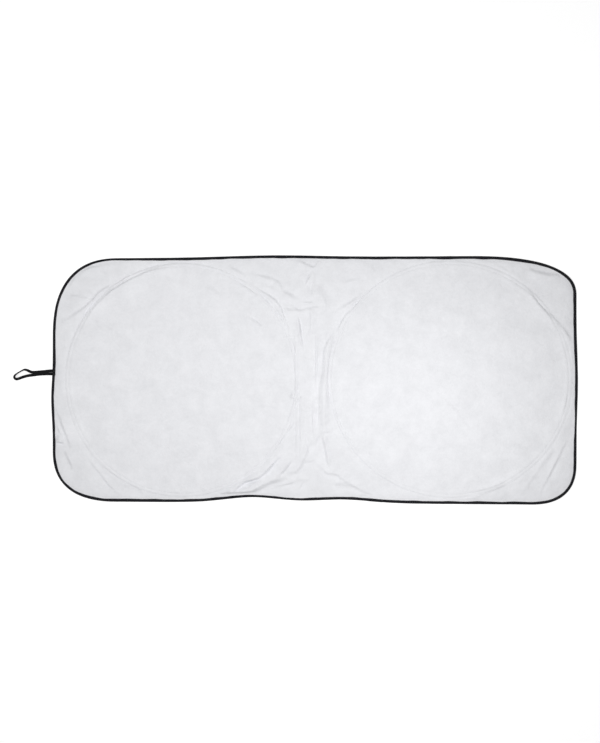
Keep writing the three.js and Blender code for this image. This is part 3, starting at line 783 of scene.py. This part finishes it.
def binding_section(width, lap):
    """The folded tape's section: out along its lower layer, back inside the fold, out again under
    its upper layer and back over it. lap is how far the tape's lapped end stands out over its
    start."""
    wall = BINDING_THICKNESS
    low = -LAY_HEIGHT
    inner_top = BINDING_TOP - LAY_HEIGHT - wall
    top = inner_top + wall + lap
    inner = wall + BINDING_SLACK
    lip = width - BINDING_ROUNDING
    shoulder = BINDING_SHOULDER - lap
    return (
        (-lap, 0.45 * low),
        (shoulder, low + 0.3 * wall),
        (BINDING_TURN, low),
        (0.5 * width, low),
        (lip, low),
        (width, low + 0.5 * wall),
        (lip, low + wall),
        (inner, low + wall),
        (inner, inner_top),
        (lip, inner_top),
        (width, inner_top + 0.5 * wall),
        (lip, top),
        (0.8 * width, top - 0.16 * wall),
        (0.45 * width, top + BINDING_BULGE),
        (BINDING_TURN - lap, top),
        (shoulder, top - BINDING_ROUNDING),
    )


def outline_distance(spot):
    return np.linalg.norm(outline - (spot["x"], spot["y"]), axis=1)


def binding_widths():
    """How far the binding reaches onto the cloth, at each point of the outline."""
    widths = BINDING_WIDTH + waves(outline, BINDING_WAVES)
    for spot in BINDING_PLACES:
        widths += spot["wider"] * bump(outline_distance(spot), spot["reach"])
    return widths


def binding_laps():
    """How far the binding stands out at each point of the outline, where its ends overlap."""
    half = BINDING_JOIN["length"] / 2
    beyond = smoothstep(outline_distance(BINDING_JOIN), half, half + BINDING_STEP)
    return BINDING_JOIN["lap"] * (1.0 - beyond)


def binding_mesh():
    pairs = zip(binding_widths(), binding_laps())
    sections = np.array([binding_section(width, lap) for width, lap in pairs])
    return sweep("binding_tape", outline, inward, edge_heights, sections, True)


# Channel tapes, wires and ferrules

def tape_mesh(hoop):
    """A tape that hangs from the cloth at its two rows of stitches and passes under the wire."""
    turns = np.linspace(0, 2 * math.pi, HOOP_POINTS, endpoint=False)
    line = hoop_line(hoop, turns, 0.0)
    left = left_of(line, True)
    half = (TAPE_LOW_OFFSET, CHANNEL_STITCH_OFFSET, TAPE_WIDTH / 2)
    across = (*(-offset for offset in reversed(half)), 0.0, *half)
    sections = np.zeros((len(turns), 2 * len(across), 2))
    for k, offset in enumerate(across):
        sewn = smoothstep(abs(offset), TAPE_LOW_OFFSET, CHANNEL_STITCH_OFFSET)
        hung = underside(line + left * offset) - CLEARANCE - TAPE_THICKNESS
        below = np.maximum(0.0, hung) * sewn
        sections[:, k, 0] = offset
        sections[:, k, 1] = below
        sections[:, -1 - k, 0] = offset
        sections[:, -1 - k, 1] = below + TAPE_THICKNESS
    return sweep(f"channel_{hoop['side']}", line, left, np.zeros(len(line)), sections, True)


def wire_mesh(hoop):
    """A ring of wire that is open at its joint."""
    half_gap = WIRE_GAP / 2 / hoop["tall"]
    start = hoop["joint"] + half_gap
    turns = np.linspace(start, start + 2 * math.pi - 2 * half_gap, HOOP_POINTS + 1)
    line = hoop_line(hoop, turns, 0.0)
    heights = WIRE_HEIGHT + JOINT_LIFT * joint_share(hoop, turns, 0.0)
    section = round_section(WIRE_RADIUS, WIRE_SIDES)
    return sweep(f"spring_wire_{hoop['side']}", line, left_of(line, False), heights, section, False)


def ferrule_mesh(hoop):
    """A rolled sleeve with a slit along its underside, crimped at a few places."""
    half = FERRULE_LENGTH / 2 / hoop["tall"]
    turns = np.linspace(hoop["joint"] - half, hoop["joint"] + half, FERRULE_RINGS)
    line = hoop_line(hoop, turns, 0.0)
    start = (FERRULE_SLIT - math.pi) / 2
    around = np.linspace(start, start + 2 * math.pi - FERRULE_SLIT, FERRULE_SIDES)
    outer = np.stack((np.cos(around), np.sin(around)), 1)
    inside = outer[::-1] * (FERRULE_RADIUS - FERRULE_WALL)
    sections = []
    for k in range(FERRULE_RINGS):
        crimp = FERRULE_CRIMP * math.sin(math.pi * k / FERRULE_CRIMP_EVERY) ** 2
        sections.append(np.vstack((outer * (FERRULE_RADIUS - crimp), inside)))
    heights = np.full(FERRULE_RINGS, WIRE_HEIGHT + JOINT_LIFT)
    return sweep(f"ferrule_{hoop['side']}", line, left_of(line, False), heights, sections, False)


# Elastic loop

def elastic_line():
    """Centres in millimetres, and the band's lean in radians, at equal steps."""
    route = evenly(smooth_route(ELASTIC_ROUTE, ELASTIC_CURVE_STEPS), ELASTIC_POINTS)
    lean = np.radians(np.clip(route[:, 2], 0.0, 90.0))
    x = CENTRING[0] - PANEL_LENGTH / 2 - route[:, 0]
    y = CENTRING[1] + route[:, 1]
    over_edge = 1.0 - smoothstep(route[:, 0], *ELASTIC_DROP)
    resting = ELASTIC_WIDTH / 2 * np.sin(lean) + ELASTIC_THICKNESS / 2 * np.cos(lean)
    z = resting + (BINDING_TOP + CLEARANCE) * over_edge
    return np.stack((x, y, z), 1), lean


def elastic_mesh(path, lean):
    """A flat band with rounded edges, turned by its lean along the path."""
    across_power, up_power = ELASTIC_ROUNDING
    cosines, sines = round_section(1.0, ELASTIC_SIDES).T
    across = ELASTIC_WIDTH / 2 * np.copysign(np.abs(cosines) ** across_power, cosines)
    up = ELASTIC_THICKNESS / 2 * np.copysign(np.abs(sines) ** up_power, sines)
    level = np.cos(lean)[:, None]
    upright = np.sin(lean)[:, None]
    sections = np.stack((across * level + up * upright, up * level - across * upright), 2)
    line = path[:, :2]
    return sweep("elastic_band", line, left_of(line, False), path[:, 2], sections, False)


# Stitches: short humps of thread in rows. A row is its line, the heights of the surface that it is
# sewn into, and 1 for the top of the surface or -1 for its underside.

def stitch_mesh(name, rows):
    pitch = STITCH_LENGTH + STITCH_GAP
    across, up = round_section(THREAD_RADIUS, THREAD_SIDES).T
    rings = []
    faces = []
    for line, heights, above in rows:
        lengths = arc_lengths(line)
        for i in range(int(lengths[-1] / pitch)):
            faces += tube_faces(len(STITCH_PROFILE), THREAD_SIDES, False, len(rings) * THREAD_SIDES)
            for share, lift in STITCH_PROFILE:
                at = i * pitch + share * STITCH_LENGTH
                x, ahead_x = np.interp((at, at + STITCH_LOOK_AHEAD), lengths, line[:, 0])
                y, ahead_y = np.interp((at, at + STITCH_LOOK_AHEAD), lengths, line[:, 1])
                size = math.hypot(ahead_x - x, ahead_y - y)
                z = np.interp(at, lengths, heights) + above * lift * THREAD_RADIUS
                side_x = (y - ahead_y) / size
                side_y = (ahead_x - x) / size
                rings.append(np.stack((x + side_x * across, y + side_y * across, z + up), 1))
    return make_mesh(name, np.vstack(rings), faces)


def closed_row(line, heights, above):
    """A row that ends where it starts."""
    return np.vstack((line, line[:1])), np.append(heights, heights[0]), above


def binding_stitches():
    """The row that closes the binding, seen on its top and underneath it."""
    insets = binding_widths() - BINDING_STITCH_INSET
    line = outline + inward * insets[:, None]
    top = edge_heights + BINDING_TOP - LAY_HEIGHT + binding_laps()
    bottom = edge_heights - LAY_HEIGHT + STITCH_SINK
    return stitch_mesh("binding_stitches", (closed_row(line, top, 1), closed_row(line, bottom, -1)))


def channel_stitches(hoop):
    """The two rows that hold a channel tape to the cloth, seen on the cloth and under the tape."""
    turns = np.linspace(0, 2 * math.pi, 2 * HOOP_POINTS, endpoint=False)
    rows = []
    for offset in (-CHANNEL_STITCH_OFFSET, CHANNEL_STITCH_OFFSET):
        line = hoop_line(hoop, turns, offset)
        low = underside(line)
        tape_low = np.maximum(0.0, low - CLEARANCE - TAPE_THICKNESS)
        rows.append(closed_row(line, low + CLOTH_THICKNESS, 1))
        rows.append(closed_row(line, tape_low + STITCH_SINK, -1))
    return stitch_mesh(f"channel_stitches_{hoop['side']}", rows)


def elastic_tacks(path):
    """Bars of thread across both sewn ends of the elastic."""
    reach = ELASTIC_WIDTH / 2 - TACK_INSET
    rows = []
    for x, y, z in (path[0], path[-1]):
        top = np.full(TACK_POINTS, z + ELASTIC_THICKNESS / 2)
        across = np.linspace(y - reach, y + reach, TACK_POINTS)
        for distance in TACK_PLACES:
            line = np.stack((np.full(TACK_POINTS, x - distance), across), 1)
            rows.append((line, top, 1))
    return stitch_mesh("elastic_tacks", rows)


# Materials

def new_material(name, color, roughness, metallic=0.0):
    """A material with one plain shader, with its node tree and that shader."""
    material = bpy.data.materials.new(name)
    material.use_nodes = True
    shader = material.node_tree.nodes["Principled BSDF"]
    shader.inputs["Base Color"].default_value = (*color, 1.0)
    shader.inputs["Roughness"].default_value = roughness
    shader.inputs["Metallic"].default_value = metallic
    return material, material.node_tree, shader


def object_coordinates(tree):
    return tree.nodes.new("ShaderNodeTexCoord").outputs["Object"]


def noise(tree, vector, scale, detail, roughness=0.5, distortion=0.0):
    node = tree.nodes.new("ShaderNodeTexNoise")
    node.inputs["Scale"].default_value = scale
    node.inputs["Detail"].default_value = detail
    node.inputs["Roughness"].default_value = roughness
    node.inputs["Distortion"].default_value = distortion
    tree.links.new(vector, node.inputs["Vector"])
    return node.outputs["Fac"]


def add_color(tree, shader, value, low, high, low_color, high_color):
    """The shader's colour goes from one colour where value is low to another where it is high."""
    node = tree.nodes.new("ShaderNodeValToRGB")
    node.color_ramp.elements[0].position = low
    node.color_ramp.elements[1].position = high
    node.color_ramp.elements[0].color = (*low_color, 1.0)
    node.color_ramp.elements[1].color = (*high_color, 1.0)
    tree.links.new(value, node.inputs["Fac"])
    tree.links.new(node.outputs["Color"], shader.inputs["Base Color"])


def add_bump(tree, shader, value, distance, strength, before=None):
    node = tree.nodes.new("ShaderNodeBump")
    node.inputs["Strength"].default_value = strength
    node.inputs["Distance"].default_value = distance
    tree.links.new(value, node.inputs["Height"])
    if before is not None:
        tree.links.new(before, node.inputs["Normal"])
    tree.links.new(node.outputs["Normal"], shader.inputs["Normal"])
    return node.outputs["Normal"]


def cloth_material(name, light, dark):
    material, tree, shader = new_material(name, light, 0.9)
    where = object_coordinates(tree)
    clouds = noise(tree, where, scale=17.0, detail=9.0, roughness=0.8, distortion=0.2)
    add_color(tree, shader, clouds, 0.36, 0.64, dark, light)
    crumple = noise(tree, where, scale=45.0, detail=6.0, roughness=0.7, distortion=0.3)
    fibres = noise(tree, where, scale=650.0, detail=3.0, roughness=0.6)
    crumpled = add_bump(tree, shader, crumple, distance=0.004, strength=0.7)
    add_bump(tree, shader, fibres, distance=0.0002, strength=0.35, before=crumpled)
    shader.inputs["Sheen Weight"].default_value = 0.08
    shader.inputs["Specular IOR Level"].default_value = 0.25
    return material


def woven_material(name, light, dark, threads):
    """Woven tape, with its threads counted along a metre."""
    material, tree, shader = new_material(name, light, 0.82)
    where = object_coordinates(tree)
    checks = tree.nodes.new("ShaderNodeTexVoronoi")
    checks.inputs["Scale"].default_value = threads
    checks.inputs["Randomness"].default_value = 0.35
    tree.links.new(where, checks.inputs["Vector"])
    fuzz = noise(tree, where, scale=threads * 0.2, detail=4.0)
    add_color(tree, shader, fuzz, 0.3, 0.7, dark, light)
    add_bump(tree, shader, checks.outputs["Distance"], distance=0.0003, strength=0.6)
    shader.inputs["Specular IOR Level"].default_value = 0.15
    return material


def thread_material(name, light, dark):
    material, tree, shader = new_material(name, light, 0.6)
    twist = noise(tree, object_coordinates(tree), scale=2600.0, detail=2.0)
    add_color(tree, shader, twist, 0.35, 0.65, dark, light)
    add_bump(tree, shader, twist, distance=0.0001, strength=0.5)
    return material


def steel_material(name, color, roughness):
    material, tree, shader = new_material(name, color, roughness, 1.0)
    dark = tuple(0.8 * part for part in color)
    scratches = noise(tree, object_coordinates(tree), scale=900.0, detail=3.0)
    add_color(tree, shader, scratches, 0.3, 0.7, dark, color)
    add_bump(tree, shader, scratches, distance=0.00005, strength=0.4)
    return material


# Camera

def make_camera():
    data = bpy.data.cameras.new("camera")
    data.lens = CAMERA_LENS
    data.sensor_width = CAMERA_SENSOR
    camera = bpy.data.objects.new("camera", data)
    bpy.context.scene.collection.objects.link(camera)
    side = math.sin(CAMERA_TILT)
    rise = math.cos(CAMERA_TILT)
    camera.matrix_world = Matrix((
        (rise, 0.0, side, CAMERA_TARGET[0] + CAMERA_DISTANCE * side),
        (0.0, 1.0, 0.0, CAMERA_TARGET[1]),
        (-side, 0.0, rise, CAMERA_DISTANCE * rise),
        (0.0, 0.0, 0.0, 1.0),
    ))
    bpy.context.scene.camera = camera


make_camera()

# Cord

elastic_black = woven_material(
    "elastic_black", (0.006, 0.006, 0.007), (0.003, 0.003, 0.004), threads=1600.0
)
elastic_path, elastic_lean = elastic_line()
elastic = place(elastic_mesh(elastic_path, elastic_lean), elastic_black)
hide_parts("elastic_loop")

# Cloth, binding, channels and hoops

white = cloth_material("nonwoven_white", (0.905, 0.91, 0.938), (0.825, 0.83, 0.857))
tape_white = cloth_material("nonwoven_tape", (0.84, 0.845, 0.87), (0.79, 0.795, 0.82))
black = woven_material(
    "binding_black", (0.012, 0.012, 0.015), (0.006, 0.006, 0.008), threads=1300.0
)
white_thread = thread_material("white_thread", (0.86, 0.865, 0.885), (0.78, 0.785, 0.8))
black_thread = thread_material("black_thread", (0.02, 0.02, 0.023), (0.008, 0.008, 0.01))
steel = steel_material("spring_steel", (0.45, 0.46, 0.47), 0.32)
plated = steel_material("plated_steel", (0.62, 0.62, 0.63), 0.28)

cloth = place(cloth_mesh(), white)
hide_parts("sheet")
binding = place(binding_mesh(), black)
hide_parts("edge_binding")
for hoop in HOOPS:
    side = hoop["side"]
    tape = place(tape_mesh(hoop), tape_white)
    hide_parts(f"channel_tape_{side}")
    wire = place(wire_mesh(hoop), steel)
    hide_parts(f"hoop_wire_{side}")
    ferrule = place(ferrule_mesh(hoop), plated)
    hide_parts(f"hoop_ferrule_{side}")
    place(channel_stitches(hoop), white_thread)
place(binding_stitches(), black_thread)
place(elastic_tacks(elastic_path), black_thread)

# Floor and lights

def seen_share(tree):
    """1 for what the camera or a reflection sees, 0 for the light that falls on the object."""
    path = tree.nodes.new("ShaderNodeLightPath")
    seen = tree.nodes.new("ShaderNodeMath")
    seen.operation = "MAXIMUM"
    tree.links.new(path.outputs["Is Camera Ray"], seen.inputs[0])
    tree.links.new(path.outputs["Is Glossy Ray"], seen.inputs[1])
    return seen.outputs["Value"]


def make_floor():
    bpy.ops.mesh.primitive_plane_add(size=FLOOR_SIZE, location=(0.0, 0.0, -FLOOR_DROP))
    floor = bpy.context.object
    floor.name = "floor"
    material, tree, shader = new_material("floor_white", (0.9, 0.9, 0.9), 0.9)
    glow = tree.nodes.new("ShaderNodeEmission")
    lift = tree.nodes.new("ShaderNodeMath")
    lift.operation = "MULTIPLY"
    lift.inputs[1].default_value = FLOOR_GLOW
    tree.links.new(seen_share(tree), lift.inputs[0])
    tree.links.new(lift.outputs["Value"], glow.inputs["Strength"])
    both = tree.nodes.new("ShaderNodeAddShader")
    tree.links.new(shader.outputs["BSDF"], both.inputs[0])
    tree.links.new(glow.outputs["Emission"], both.inputs[1])
    tree.links.new(both.outputs["Shader"], tree.nodes["Material Output"].inputs["Surface"])
    floor.data.materials.append(material)


def make_lamp(name, place_at, size, power):
    data = bpy.data.lights.new(name, "AREA")
    data.shape = "DISK"
    data.size = size
    data.energy = power
    lamp = bpy.data.objects.new(name, data)
    lamp.location = place_at
    lamp.visible_camera = False
    bpy.context.scene.collection.objects.link(lamp)


def make_world():
    world = bpy.data.worlds.new("studio")
    world.use_nodes = True
    tree = world.node_tree
    back = tree.nodes["Background"]
    back.inputs["Color"].default_value = (1.0, 1.0, 1.0, 1.0)
    strength = tree.nodes.new("ShaderNodeMapRange")
    strength.inputs["To Min"].default_value = WORLD_LIGHT
    strength.inputs["To Max"].default_value = 1.0
    tree.links.new(seen_share(tree), strength.inputs["Value"])
    tree.links.new(strength.outputs["Result"], back.inputs["Strength"])
    bpy.context.scene.world = world


make_floor()
make_world()
make_lamp("right_lamp", place_at=(0.38, -0.09, 0.64), size=0.3, power=1.32)
make_lamp("left_lamp", place_at=(-0.38, 0.05, 1.24), size=0.5, power=5.8)
bpy.context.scene.view_settings.view_transform = "Standard"
